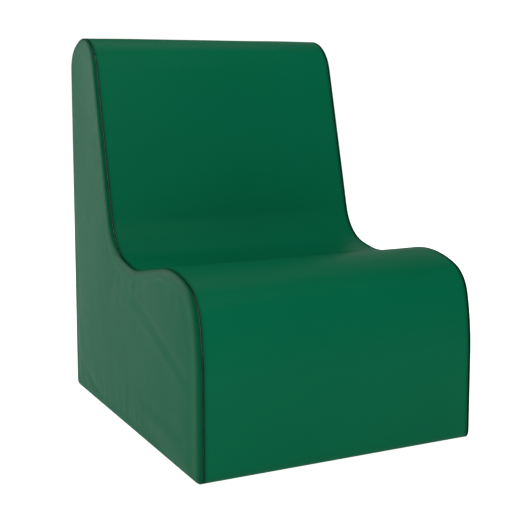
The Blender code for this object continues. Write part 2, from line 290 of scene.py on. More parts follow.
print("a 3 by 4 grid has", len(grid_faces(3, 4)), "faces")

# %% [markdown]
# ## The side profile
#
# The foam cutter works from one paper profile, so every piece of the cover follows it too. It is ten corners,
# each rounded by its own radius. An inner line runs parallel to it: a bulging corner loses the move from its
# radius and a hollow one gains it. Each line is read at the same marks, counted in metres along the outer one,
# which keeps neighbouring lines in step. A short running average then takes the tiny kink out of each place
# where a straight meets an arc, because a satin surface would show it as a break in the reflection.

# %% Side profile
PROFILE = [
    (0.000, BASE_PROUD, BOTTOM_RADIUS),  # front bottom
    (0.000, SEAT_HEIGHT - 0.110, 0.450),  # the front starts to lean back
    (0.020, SEAT_HEIGHT - 0.024, 0.062),  # nose
    (0.112, SEAT_HEIGHT + 0.0065, 0.200),  # crest of the seat
    (0.290, SEAT_HEIGHT - 0.0285, 0.140),  # dip of the seat
    (SEAT_DEPTH, SEAT_HEIGHT - 0.009, 0.083),  # root of the back
    (DEPTH - BACK_TOP_THICKNESS, HEIGHT, 0.074),  # top front
    (DEPTH - 0.058, HEIGHT, 0.065),  # ridge
    (DEPTH, HEIGHT - 0.025, 0.050),  # top rear
    (DEPTH, BASE_PROUD, BOTTOM_RADIUS),  # rear bottom
]
MARK = 0.0045  # spacing of the marks along the outline


def rounded_corners(inset, floor_inset):
    """Start, centre, sweep and radius of each corner's arc on the line that lies inset inside the outline."""
    corners = np.array([row[:2] for row in PROFILE])
    edges = np.roll(corners, -1, axis=0) - corners
    edges /= np.linalg.norm(edges, axis=1)[:, None]
    inward = np.column_stack([edges[:, 1], -edges[:, 0]])
    moves = np.full(len(PROFILE), float(inset))
    moves[-1] = floor_inset
    found = []
    for i, (_, _, radius) in enumerate(PROFILE):
        before, after = edges[i - 1], edges[i]
        turn = before[0] * after[1] - before[1] * after[0]
        move = min(moves[i - 1], moves[i])
        radius = radius + move if turn > 0 else max(radius - move, 0.001)
        corner = corners[i] + np.linalg.solve([inward[i - 1], inward[i]], [moves[i - 1], moves[i]])
        half = math.acos(np.clip(-before @ after, -1, 1)) / 2
        towards = (after - before) / np.linalg.norm(after - before)
        centre = corner + towards * radius / math.sin(half)
        start = corner - before * radius / math.tan(half) - centre
        found.append((start, centre, math.copysign(math.pi - 2 * half, turn), radius))
    return found


def arc_points(start, centre, sweep, count):
    """count + 1 points round a centre: start turned through equal parts of the sweep."""
    angle = np.linspace(0, sweep, count + 1)
    cos, sin = np.cos(angle), np.sin(angle)
    return centre + np.column_stack([start[0] * cos - start[1] * sin, start[0] * sin + start[1] * cos])


def line_of(corners, counts):
    """The closed line through every arc, with evenly divided straights between them."""
    arcs = [arc_points(s, c, w, n) for (s, c, w, _), n in zip(corners, counts["arc"])]
    parts = []
    for i, arc in enumerate(arcs):
        onward = arcs[(i + 1) % len(arcs)][0]
        share = np.linspace(0, 1, counts["straight"][i] + 1)[1:-1, None]
        parts += [arc, arc[-1] + share * (onward - arc[-1])]
    return np.concatenate(parts)


def count_marks():
    """How many parts each arc and each straight of the outline gets."""
    corners = rounded_corners(0.0, 0.0)
    arcs = [max(4, round(abs(w) * r / MARK)) for _, _, w, r in corners]
    ends = [arc_points(s, c, w, 1) for s, c, w, _ in corners]
    runs = [np.linalg.norm(ends[(i + 1) % len(ends)][0] - end[1]) for i, end in enumerate(ends)]
    return {"arc": arcs, "straight": [max(1, round(run / MARK)) for run in runs]}


def evened(line, reach=1.3):
    """A closed line averaged with its neighbours by a bell curve that is reach marks wide."""
    offsets = np.arange(-5, 6)
    weights = np.exp(-0.5 * (offsets / reach) ** 2)
    weights /= weights.sum()
    return sum(w * np.roll(line, -k, axis=0) for k, w in zip(offsets, weights))


COUNTS = count_marks()


def whole_line(inset, floor_inset=None):
    """The closed line that lies inset inside the outline, from the front bottom corner clockwise."""
    floor_inset = inset if floor_inset is None else floor_inset
    return evened(line_of(rounded_corners(inset, floor_inset), COUNTS))


OUTLINE = whole_line(0.0)
STEPS = np.linalg.norm(np.roll(OUTLINE, -1, axis=0) - OUTLINE, axis=1)
RUN = np.concatenate([[0.0], np.cumsum(STEPS)])  # metres along the outline at each mark


def along(run, inset, floor_inset=None):
    """Points (y, z) of an inner line at the given metres along the outline."""
    line = whole_line(inset, floor_inset)
    line = np.concatenate([line, line[:1]])
    run = np.mod(run, RUN[-1])
    return np.column_stack([np.interp(run, RUN, line[:, 0]), np.interp(run, RUN, line[:, 1])])


def run_at(y, z):
    """How far along the outline the point nearest (y, z) lies."""
    ends = np.concatenate([OUTLINE, OUTLINE[:1]])
    fine = np.linspace(0, RUN[-1], 20000)
    points = np.column_stack([np.interp(fine, RUN, ends[:, 0]), np.interp(fine, RUN, ends[:, 1])])
    return fine[np.argmin(np.hypot(points[:, 0] - y, points[:, 1] - z))]


def in_world(y_z, x):
    """Profile points and their x as world points."""
    x = np.broadcast_to(x, y_z.shape[:-1])
    return np.stack([x, y_z[..., 0] - DEPTH / 2, y_z[..., 1]], -1)


STRIP_START = run_at(UNDER_EDGE, BASE_PROUD) - RUN[-1]
STRIP_END = run_at(DEPTH, REAR_SEAM_HEIGHT)
print(f"{len(OUTLINE)} marks, outline {RUN[-1]:.3f} m, strip cut {STRIP_END - STRIP_START:.3f} m long")

# %% [markdown]
# ## Shared effects
#
# Three effects are used by more than one finish, so each is a node group: the fine grain pressed into coated
# cloth, slow unevenness of shade as in any dyed and handled surface, and a plain weave. A group gives out only
# numbers that change over the surface. The shaders stay in the materials.

# %% Node helpers
def node(tree, kind, **values):
    """Adds a node. Inputs are given by name, and settings that are not inputs as properties."""
    made = tree.nodes.new(kind)
    for name, value in values.items():
        if name.title() in made.inputs:
            made.inputs[name.title()].default_value = value
        else:
            setattr(made, name, value)
    return made


def maths(tree, operation, a, b=0.0):
    """A Math node. a and b are numbers or sockets."""
    made = tree.nodes.new("ShaderNodeMath")
    made.operation = operation
    for socket, value in zip(made.inputs, (a, b)):
        if isinstance(value, (int, float)):
            socket.default_value = value
        else:
            tree.links.new(value, socket)
    return made.outputs[0]


def new_group(name, inputs, outputs):
    """An empty node group with float inputs (name, default) and outputs (name)."""
    group = bpy.data.node_groups.new(name, "ShaderNodeTree")
    group.interface.new_socket("Place", in_out="INPUT", socket_type="NodeSocketVector")
    for label, default in inputs:
        socket = group.interface.new_socket(label, in_out="INPUT", socket_type="NodeSocketFloat")
        socket.default_value = default
    for label in outputs:
        group.interface.new_socket(label, in_out="OUTPUT", socket_type="NodeSocketFloat")
    return group, group.nodes.new("NodeGroupInput"), group.nodes.new("NodeGroupOutput")


def pressed_grain():
    """Fine pebbled grain: rounded cells of one size, broken up by a finer noise."""
    group, start, end = new_group("pressed_grain", [("Cells per metre", 900.0)], ["Height"])
    cells = node(group, "ShaderNodeTexVoronoi", feature="SMOOTH_F1", smoothness=0.6)
    group.links.new(start.outputs["Place"], cells.inputs["Vector"])
    group.links.new(start.outputs["Cells per metre"], cells.inputs["Scale"])
    fine = node(group, "ShaderNodeTexNoise", detail=2.0)
    group.links.new(start.outputs["Place"], fine.inputs["Vector"])
    group.links.new(maths(group, "MULTIPLY", start.outputs["Cells per metre"], 1.7), fine.inputs["Scale"])
    pebbles = maths(group, "SUBTRACT", 1.0, cells.outputs["Distance"])
    broken = maths(group, "MULTIPLY", fine.outputs["Fac"], 0.3)
    height = maths(group, "ADD", maths(group, "MULTIPLY", pebbles, 0.7), broken)
    group.links.new(height, end.inputs["Height"])
    return group


def slow_shade():
    """Shade that drifts over a hand's width, with a finer mottle in it. Both run from 0 to 1."""
    group, start, end = new_group("slow_shade", [("Patches per metre", 6.0)], ["Drift", "Mottle"])
    drift = node(group, "ShaderNodeTexNoise", detail=2.0, roughness=0.45)
    mottle = node(group, "ShaderNodeTexNoise", detail=4.0, roughness=0.6)
    for texture, factor in ((drift, 1.0), (mottle, 9.0)):
        group.links.new(start.outputs["Place"], texture.inputs["Vector"])
        scale = maths(group, "MULTIPLY", start.outputs["Patches per metre"], factor)
        group.links.new(scale, texture.inputs["Scale"])
    group.links.new(drift.outputs["Fac"], end.inputs["Drift"])
    group.links.new(mottle.outputs["Fac"], end.inputs["Mottle"])
    return group


def plain_weave():
    """Over-and-under threads: two crossed rows of ridges, each raised where the other dips."""
    group, start, end = new_group("plain_weave", [("Threads per metre", 1800.0)], ["Height", "Thread"])
    split = group.nodes.new("ShaderNodeSeparateXYZ")
    group.links.new(start.outputs["Place"], split.inputs["Vector"])
    angle = maths(group, "MULTIPLY", start.outputs["Threads per metre"], math.pi)
    warp = maths(group, "SINE", maths(group, "MULTIPLY", split.outputs["X"], angle))
    weft = maths(group, "SINE", maths(group, "MULTIPLY", split.outputs["Y"], angle))
    over = maths(group, "MULTIPLY", warp, weft)
    height = maths(group, "ADD", maths(group, "ABSOLUTE", warp), maths(group, "ABSOLUTE", weft))
    group.links.new(maths(group, "MULTIPLY", maths(group, "ADD", height, over), 0.4), end.inputs["Height"])
    # Thread is 1 on the thread crowns and 0 in the dips between them, where the zip tape paints shade.
    group.links.new(maths(group, "ABSOLUTE", over), end.inputs["Thread"])
    return group


GRAIN, SHADE, WEAVE = pressed_grain(), slow_shade(), plain_weave()
print("groups:", [group.name for group in bpy.data.node_groups])

# %% [markdown]
# ## Finishes
#
# The vinyl is a dark, slightly blue green with a satin top coat. Its colour comes almost wholly from the
# pigment, so the coat is kept weak and fairly rough: the broad soft sheen is the light of the room on it.
# Along a side panel's rounded border the colour is painted darker, as shade where the vinyl turns away from the
# lamps. Down in a seam it is painted nearly black as shade, and the gloss fades.

# %% Finishes
def new_finish(name, colour, roughness, metallic=0.0, specular=0.5):
    """A material with its Principled shader and the place of each point."""
    finish = bpy.data.materials.new(name)
    finish.use_nodes = True
    tree = finish.node_tree
    shader = tree.nodes["Principled BSDF"]
    shader.inputs["Base Color"].default_value = (*colour, 1.0)
    shader.inputs["Roughness"].default_value = roughness
    shader.inputs["Metallic"].default_value = metallic
    shader.inputs["Specular IOR Level"].default_value = specular
    place = tree.nodes.new("ShaderNodeTexCoord").outputs["Object"]
    return finish, tree, shader, place


def placed_group(tree, group, place, **values):
    """A group node fed with the place and its own values."""
    made = tree.nodes.new("ShaderNodeGroup")
    made.node_tree = group
    tree.links.new(place, made.inputs["Place"])
    for socket in made.inputs:
        if socket.name in values:
            socket.default_value = values[socket.name]
    return made


def blend_colour(tree, factor, dark, light):
    """A colour between dark and light."""
    mix = tree.nodes.new("ShaderNodeMix")
    mix.data_type = "RGBA"
    colours = [socket for socket in mix.inputs if socket.type == "RGBA"]
    for socket, value in zip(colours, (dark, light)):
        if isinstance(value, tuple):
            socket.default_value = (*value, 1.0)
        else:
            tree.links.new(value, socket)
    tree.links.new(factor, mix.inputs["Factor"])
    return [socket for socket in mix.outputs if socket.type == "RGBA"][0]


def spread(tree, value, low, high):
    """A number from 0 to 1 carried into the range from low to high."""
    made = tree.nodes.new("ShaderNodeMapRange")
    made.inputs["To Min"].default_value = low
    made.inputs["To Max"].default_value = high
    tree.links.new(value, made.inputs["Value"])
    return made.outputs["Result"]


def mask(tree, name):
    """A mask that a piece carries as an attribute. It is 0 on pieces without one."""
    made = tree.nodes.new("ShaderNodeAttribute")
    made.attribute_name = name
    return made.outputs["Fac"]


def bump(tree, shader, height, distance, strength=1.0):
    """Roughens the surface by a height that is 1 at distance metres."""
    made = tree.nodes.new("ShaderNodeBump")
    made.inputs["Strength"].default_value = strength
    made.inputs["Distance"].default_value = distance
    tree.links.new(height, made.inputs["Height"])
    tree.links.new(made.outputs["Normal"], shader.inputs["Normal"])


def vinyl_finish():
    """Coated cloth: drifting green pigment under a weak satin coat, with painted shade at the side panels'
    borders and in the seams.
    """
    finish, tree, shader, place = new_finish("green_vinyl_finish", (0.0004, 0.118, 0.052), 0.40, 0.0, 0.05)
    shade = placed_group(tree, SHADE, place, **{"Patches per metre": 5.0})
    grain = placed_group(tree, GRAIN, place, **{"Cells per metre": 1100.0})
    seam = mask(tree, "near_seam")
    pigment = blend_colour(tree, shade.outputs["Drift"], (0.0002, 0.113, 0.050), (0.0006, 0.126, 0.0565))
    # Painted shade: along a side panel's rounded border, where the vinyl turns away from the lamps, the colour
    # is darkened.
    painted_border_shade = blend_colour(tree, mask(tree, "painted_border_shade_mask"), pigment, (0.0002, 0.074, 0.032))
    # Painted shade: down in a seam's valley the colour goes nearly black, standing for the shade in the groove.
    painted_seam_shade = blend_colour(tree, seam, painted_border_shade, (0.0002, 0.009, 0.004))
    tree.links.new(painted_seam_shade, shader.inputs["Base Color"])
    gloss = spread(tree, shade.outputs["Mottle"], 0.38, 0.46)
    duller = maths(tree, "MULTIPLY", seam, 0.3)
    tree.links.new(maths(tree, "ADD", gloss, duller), shader.inputs["Roughness"])
    bump(tree, shader, grain.outputs["Height"], 0.00004, 0.5)
    return finish


def cloth_finish():
    """Non-slip base cloth: a matt black coating over a coarse weave."""
    finish, tree, shader, place = new_finish("non_slip_cloth_finish", (0.02, 0.022, 0.022), 0.82)
    weave = placed_group(tree, WEAVE, place, **{"Threads per metre": 900.0})
    shade = placed_group(tree, SHADE, place, **{"Patches per metre": 9.0})
    colour = blend_colour(tree, shade.outputs["Mottle"], (0.014, 0.015, 0.015), (0.035, 0.037, 0.036))
    tree.links.new(colour, shader.inputs["Base Color"])
    bump(tree, shader, weave.outputs["Height"], 0.0002, 0.6)
    return finish


def tape_finish():
    """Woven polyester zip tape, and the guard behind it."""
    finish, tree, shader, place = new_finish("zip_tape_finish", (0.010, 0.060, 0.032), 0.8)
    turn = tree.nodes.new("ShaderNodeMapping")
    turn.inputs["Rotation"].default_value = (math.radians(90), 0, 0)
    tree.links.new(place, turn.inputs["Vector"])
    weave = placed_group(tree, WEAVE, turn.outputs["Vector"], **{"Threads per metre": 2400.0})
    # Painted shade: the tape is darker along the dips between the thread crowns and keeps its own colour on the
    # crowns.
    colour = blend_colour(tree, weave.outputs["Thread"], (0.006, 0.042, 0.023), (0.016, 0.085, 0.047))
    tree.links.new(colour, shader.inputs["Base Color"])
    bump(tree, shader, weave.outputs["Height"], 0.0001, 0.8)
    return finish


def coil_finish():
    """Drawn nylon wire: smooth, with a faint length-wise unevenness."""
    finish, tree, shader, place = new_finish("zip_coil_finish", (0.008, 0.055, 0.030), 0.35)
    shade = placed_group(tree, SHADE, place, **{"Patches per metre": 120.0})
    colour = blend_colour(tree, shade.outputs["Mottle"], (0.006, 0.048, 0.026), (0.012, 0.070, 0.038))
    tree.links.new(colour, shader.inputs["Base Color"])
    tree.links.new(spread(tree, shade.outputs["Mottle"], 0.28, 0.42), shader.inputs["Roughness"])
    return finish


def metal_finish():
    """Tumbled zinc under thin nickel: bright, with a fine orange-peel and duller hollows."""
    finish, tree, shader, place = new_finish("zip_metal_finish", (0.56, 0.55, 0.53), 0.3, 1.0)
    shade = placed_group(tree, SHADE, place, **{"Patches per metre": 160.0})
    colour = blend_colour(tree, shade.outputs["Mottle"], (0.40, 0.39, 0.37), (0.68, 0.67, 0.65))
    tree.links.new(colour, shader.inputs["Base Color"])
    tree.links.new(spread(tree, shade.outputs["Mottle"], 0.22, 0.42), shader.inputs["Roughness"])
    bump(tree, shader, shade.outputs["Mottle"], 0.0001, 0.3)
    return finish


def foam_finish(name, dark, light):
    """Open-cell foam: a mass of small round pores with thin walls between them."""
    finish, tree, shader, place = new_finish(name, light, 0.95, 0.0, 0.2)
    cells = node(tree, "ShaderNodeTexVoronoi", scale=700.0)
    tree.links.new(place, cells.inputs["Vector"])
    shade = placed_group(tree, SHADE, place, **{"Patches per metre": 7.0})
    # Painted shade: each pore is darker towards its middle, where the hollow lies. The walls keep the foam's
    # own colour.
    tree.links.new(blend_colour(tree, cells.outputs["Distance"], dark, light), shader.inputs["Base Color"])
    tree.links.new(spread(tree, shade.outputs["Drift"], 0.9, 1.0), shader.inputs["Roughness"])
    bump(tree, shader, cells.outputs["Distance"], 0.0008, 0.7)
    return finish


def thread_finish():
    """Bonded sewing thread a shade darker than the vinyl."""
    finish, tree, shader, place = new_finish("thread_finish", (0.002, 0.070, 0.034), 0.55)
    shade = placed_group(tree, SHADE, place, **{"Patches per metre": 300.0})
    colour = blend_colour(tree, shade.outputs["Mottle"], (0.0015, 0.055, 0.026), (0.004, 0.090, 0.045))
    tree.links.new(colour, shader.inputs["Base Color"])
    return finish


VINYL_FINISH = vinyl_finish()
CLOTH_FINISH = cloth_finish()
TAPE_FINISH = tape_finish()
COIL_FINISH = coil_finish()
METAL_FINISH = metal_finish()
THREAD_FINISH = thread_finish()
# Each foam is given the darker colour that is painted as shade in its pores, then its own colour.
FOAM_FINISHES = {
    "base_foam_block": foam_finish("firm_foam_finish", (0.22, 0.23, 0.25), (0.46, 0.48, 0.50)),
    "seat_foam_pad": foam_finish("soft_foam_finish", (0.60, 0.54, 0.38), (0.86, 0.82, 0.66)),
    "back_foam_block": foam_finish("back_foam_finish", (0.40, 0.44, 0.47), (0.68, 0.72, 0.74)),
}
print("finishes:", len(bpy.data.materials))

# %% [markdown]
# ## Cloth simulation
#
# A sewn panel is a sheet held at its seams with foam pressing on it from behind. Blender's Cloth does the
# same: the border is pinned, a small pressure pushes from inside, and the sheet finds its own shape. The
# panel is simulated as a bare sheet with no seam detail. Only how far each point moved is kept, capped so
# that the cover stays on its foam, and that is added to the finely built surface afterwards.

# %% Cloth simulation
def settle(name, points, faces, pinned, pressure, slack, frames=20):
    """How far each point of a sheet moves when it is pinned where pinned is 1 and pushed from behind.

    slack is how much longer the cloth is than its place, as a share.
    """
    sheet = surface(name, points, faces)
    group = sheet.vertex_groups.new(name="pinned")
    group.add(np.flatnonzero(pinned).tolist(), 1.0, "REPLACE")
    cloth = sheet.modifiers.new("settle", "CLOTH")
    cloth.settings.quality = 6
    cloth.settings.mass = 0.25
    cloth.settings.tension_stiffness = 25
    cloth.settings.compression_stiffness = 25
    cloth.settings.shear_stiffness = 12
    cloth.settings.bending_stiffness = 1.5
    cloth.settings.vertex_group_mass = "pinned"
    cloth.settings.use_pressure = True
    cloth.settings.uniform_pressure_force = pressure
    cloth.settings.shrink_min = -slack
    cloth.settings.effector_weights.gravity = 0.0
    cloth.point_cache.frame_start = 1
    cloth.point_cache.frame_end = frames
    for number in range(1, frames + 1):
        SCENE.frame_set(number)
    settled = sheet.evaluated_get(bpy.context.evaluated_depsgraph_get()).to_mesh()
    moved = np.empty(len(settled.vertices) * 3, np.float32)
    settled.vertices.foreach_get("co", moved)
    bpy.data.objects.remove(sheet, do_unlink=True)
    SCENE.frame_set(1)
    return moved.reshape(-1, 3) - np.asarray(points, np.float32).reshape(-1, 3)


def capped(move, out, back):
    """A move that nears out but never passes it; the foam behind lets it sink by no more than back."""
    return np.where(move > 0, out * np.tanh(move / out), back * np.tanh(move / back))


print("simulation is", "on")

# %% [markdown]
# ## The seat-and-back strip
#
# One length of vinyl runs from beneath the front edge over the nose, the seat, the back and the top, and is
# sewn to both side panels. At each seam it turns down into the valley between the two panels, so each cross
# line of the grid ends in a small quarter circle.

# %% Strip
STRIP_COLUMNS = 92
CURL_ROWS = 5


def half_width_marks(half, columns):
    """Cross positions from seam to seam and their depth below the surface."""
    turn = np.linspace(math.pi / 2, 0, CURL_ROWS + 1)
    curl_out = half - GAP / 2 - CURL + CURL * np.sin(turn)
    curl_deep = CURL * (1 - np.cos(turn))
    flat = np.linspace(half - GAP / 2 - CURL, -(half - GAP / 2 - CURL), columns)[1:-1]
    across = np.concatenate([curl_out, flat, -curl_out[::-1]])
    deep = np.concatenate([curl_deep, np.zeros(columns - 2), curl_deep[::-1]])
    return across, deep


# The seam mask carries painted shade into the vinyl's colour, and a duller gloss into its roughness.
def seam_mask(distance, reach=0.0016):
    """1 in the seam's valley, falling away over reach metres."""
    return np.exp(-((np.maximum(distance, 0) / reach) ** 2))


def inward_of(path):
    """Unit normals of a path (y, z) that runs clockwise, on its inner side: its step turned a quarter back."""
    step = np.gradient(path, axis=0)
    step /= np.linalg.norm(step, axis=1)[:, None]
    return np.column_stack([step[:, 1], -step[:, 0]])


def sewn_panel(name, path, end_depth, curl_share, lift, mask_run=None):
    """A sheet from side seam to side seam: the path carried across, its edges turned down into the seams.

    A point lies deeper than the path by the larger of its cross line's depth and its end's depth, and
    higher by lift. curl_share fades the side curl, for a hem that must lie flat.
    """
    across, deep = half_width_marks(HALF_SEAM, STRIP_COLUMNS)
    inward = inward_of(path)
    depth = np.maximum(deep[None, :] * curl_share[:, None], end_depth[:, None]) - lift
    points = in_world(path[:, None, :] + inward[:, None, :] * depth[..., None], across[None, :])
    run = np.concatenate([[0.0], np.cumsum(np.linalg.norm(np.diff(path, axis=0), axis=1))])
    near_seam = seam_mask(HALF_SEAM - np.abs(across))[None, :] * curl_share[:, None]
    if mask_run is not None:
        near_seam = np.maximum(near_seam, seam_mask(np.abs(run - mask_run * run[-1]))[:, None])
    uv = np.stack(np.meshgrid(run, across, indexing="ij")[::-1], -1)
    faces = grid_faces(len(path), len(across))[:, ::-1]
    return surface(name, points, faces, VINYL_FINISH, {"near_seam": near_seam}, uv)


def strip_settle(marks):
    """How far the strip swells when it is held along its seams, on an even grid of metres."""
    rows = np.arange(marks[0], marks[-1], SHEET_CELL)
    columns = np.linspace(-HALF_SEAM, HALF_SEAM, int(2 * HALF_SEAM / SHEET_CELL))
    height = np.zeros((len(rows), len(columns)))
    path = along(rows, 0.0)
    points = in_world(path[:, None, :] + np.zeros((1, len(columns), 1)), columns[None, :])
    held = np.zeros(height.shape, bool)
    held[:, [0, -1]] = held[[0, 1, -1], :] = True
    faces = grid_faces(*height.shape)[:, ::-1]
    moved = settle("strip_sheet", points, faces, held.ravel(), 0.8, 0.0002).reshape(points.shape)
    outward = -inward_of(path)[:, None, :]
    height = capped((moved[..., 1:] * outward).sum(-1), STRIP_SWELL, STRIP_SINK)
    print(f"strip swells {1000 * height.min():.2f} to {1000 * height.max():.2f} mm")
    return rows, columns, height


def strip_lift(marks, across):
    """Height of the strip above its profile: how it settled, slow unevenness and a slight draw at the seams."""
    share = np.clip(np.abs(across) / HALF_SEAM, 0, 1)[None, :]
    swell = read_field(*strip_settle(marks), marks[:, None] + 0 * share, across[None, :] + 0 * marks[:, None])
    slow = 0.00022 * waves(marks[:, None], across[None, :], 11, 0.16)
    by_seam = np.exp(-(((1 - share) / 0.05) ** 2))
    draw = 0.00010 * waves(marks[:, None], across[None, :] * 0.3, 12, 0.028) * by_seam
    foot = np.clip((marks - BOTTOM_RADIUS) / 0.05, 0, 1) * np.clip((STRIP_END - marks) / 0.03, 0, 1)
    return (swell + (slow + draw) * (1 - share**6)) * foot[:, None]


def read_field(rows, columns, height, u, v):
    """An evenly spaced field between its points, by straight-line shares of the four nearest."""
    i = np.clip((u - rows[0]) / (rows[1] - rows[0]), 0, len(rows) - 1.001)
    j = np.clip((v - columns[0]) / (columns[1] - columns[0]), 0, len(columns) - 1.001)
    a, b = i.astype(int), j.astype(int)
    p, q = i - a, j - b
    low = height[a, b] * (1 - q) + height[a, b + 1] * q
    high = height[a + 1, b] * (1 - q) + height[a + 1, b + 1] * q
    return low * (1 - p) + high * p


def build_strip():
    """The profile from beneath the front edge to the rear seam, read every few millimetres."""
    turn = np.linspace(0, math.pi / 2, CURL_ROWS + 1)
    marks = np.linspace(STRIP_START, STRIP_END - CURL, int((STRIP_END - STRIP_START) / MARK))
    marks = np.concatenate([marks[:-1], STRIP_END - CURL + CURL * np.sin(turn)])
    end_depth = np.concatenate([np.zeros(len(marks) - len(turn)), CURL * (1 - np.cos(turn))])
    across, _ = half_width_marks(HALF_SEAM, STRIP_COLUMNS)
    path = along(marks, 0.0)
    curl_share = np.ones(len(marks))
    return sewn_panel("seat_back_strip", path, end_depth, curl_share, strip_lift(marks, across), 1.0)


SHEET_CELL = 0.008  # cell of the sheets that are simulated
STRIP_SWELL = 0.0012  # the most that the strip may swell
STRIP_SINK = 0.0003  # and the most that it may sink into the foam
strip = thicken(build_strip())
print("seat_back_strip:", triangles(strip), "triangles")

# %% [markdown]
# ## The side panels
#
# Each side is one cut panel. It starts down in the seam, turns out over the edge of the foam in a rounded
# border, and lies almost flat inside it. Rings follow the profile from the seam inwards and then shrink to one
# point in the middle, from which the whole outline can be seen in a straight line, so no ring crosses another.

# %% Side panels
POLE = np.array([0.452, 0.205])  # y from the front, z
ROLL_RINGS = 12
INNER_RINGS = 70
CREASE_GRID = 0.006  # cell of the side's sheet, finer than the strip's because its folds are small
SIDE_SWELL = 0.0022  # the most that a side may swell
SIDE_SINK = 0.0005  # and the most that it may sink

LEFT_FOLDS = [
    # points of the fold (y, z)
    # depth, width, ridge beside it
    (
        [(0.402, 0.236), (0.349, 0.250), (0.270, 0.235), (0.189, 0.209), (0.089, 0.171), (0.023, 0.143)],
        (0.0013, 0.010, 0.0008),
    ),
    ([(0.567, 0.052), (0.505, 0.030), (0.441, 0.014)], (0.0012, 0.010, 0.0007)),
    ([(0.221, 0.066), (0.140, 0.066), (0.062, 0.064)], (0.0008, 0.012, 0.0012)),
]
RIGHT_FOLDS = [
    ([(0.410, 0.262), (0.345, 0.228), (0.255, 0.196), (0.150, 0.160), (0.060, 0.118)], (0.0012, 0.011, 0.0008)),
    ([(0.560, 0.420), (0.520, 0.350), (0.470, 0.300)], (0.0009, 0.012, 0.0006)),
    ([(0.540, 0.070), (0.470, 0.040), (0.400, 0.022)], (0.0011, 0.010, 0.0007)),
]


def fold_height(y, z, line, shape):
    """A soft crease along a line: a groove, a lighter ridge on its lower side, both fading at the ends."""
    depth, width, ridge = shape
    line = np.array(line)
    starts, steps = line[:-1], np.diff(line, axis=0)
    lengths = np.linalg.norm(steps, axis=1)
    before = np.concatenate([[0.0], np.cumsum(lengths)])
    best = np.full(y.shape, np.inf)
    signed, travel = np.zeros(y.shape), np.zeros(y.shape)
    for start, step, length, passed in zip(starts, steps, lengths, before):
        share = np.clip(((y - start[0]) * step[0] + (z - start[1]) * step[1]) / length**2, 0, 1)
        off_y, off_z = y - start[0] - share * step[0], z - start[1] - share * step[1]
        distance = np.hypot(off_y, off_z)
        nearer = distance < best
        best = np.where(nearer, distance, best)
        side = np.sign(step[0] * off_z - step[1] * off_y)
        signed = np.where(nearer, distance * side, signed)
        travel = np.where(nearer, (passed + share * length) / before[-1], travel)
    fade = np.sin(math.pi * np.clip(travel * 0.94 + 0.03, 0, 1)) ** 0.7
    groove = -depth * np.exp(-((signed / width) ** 2))
    raised = ridge * np.exp(-(((signed - 1.7 * width) / (1.2 * width)) ** 2))
    return (groove + raised) * fade


def ring_reach(angle):
    """Distance from the pole to the inner border of the roll, at an angle round the pole."""
    line = whole_line(ROLL, FLOOR_ROLL) - POLE
    bearing = np.arctan2(line[:, 1], line[:, 0])
    order = np.argsort(bearing)
    return np.interp(angle, bearing[order], np.hypot(*line.T)[order], period=2 * math.pi)


def panel_field(seed):
    """The settled height of a side panel on a square grid, with the grid's axes."""
    ys = np.arange(0.0, DEPTH + CREASE_GRID, CREASE_GRID)
    zs = np.arange(0.0, HEIGHT + CREASE_GRID, CREASE_GRID)
    y, z = np.meshgrid(ys, zs, indexing="ij")
    room = ring_reach(np.arctan2(z - POLE[1], y - POLE[0])) - np.hypot(y - POLE[0], z - POLE[1])
    height = np.zeros(y.shape)
    inside = room > 0
    faces = grid_faces(*y.shape)[:, ::-1]
    faces = faces[inside.ravel()[faces].all(1)]
    used = np.unique(faces)
    numbers = np.full(y.size, -1)
    numbers[used] = np.arange(len(used))
    start_bulge = 0.0004 * waves(y, z, seed, 0.14)
    points = np.stack([start_bulge, y, z], -1).reshape(-1, 3)[used]
    pinned = room.ravel()[used] < 1.6 * CREASE_GRID
    moved = settle("side_sheet", points, numbers[faces], pinned, 1.2, 0.0006)
    height.ravel()[used] = capped(points[:, 0] + moved[:, 0], SIDE_SWELL, SIDE_SINK)
    print(f"side settles {1000 * height.min():.2f} to {1000 * height.max():.2f} mm")
    return ys, zs, height


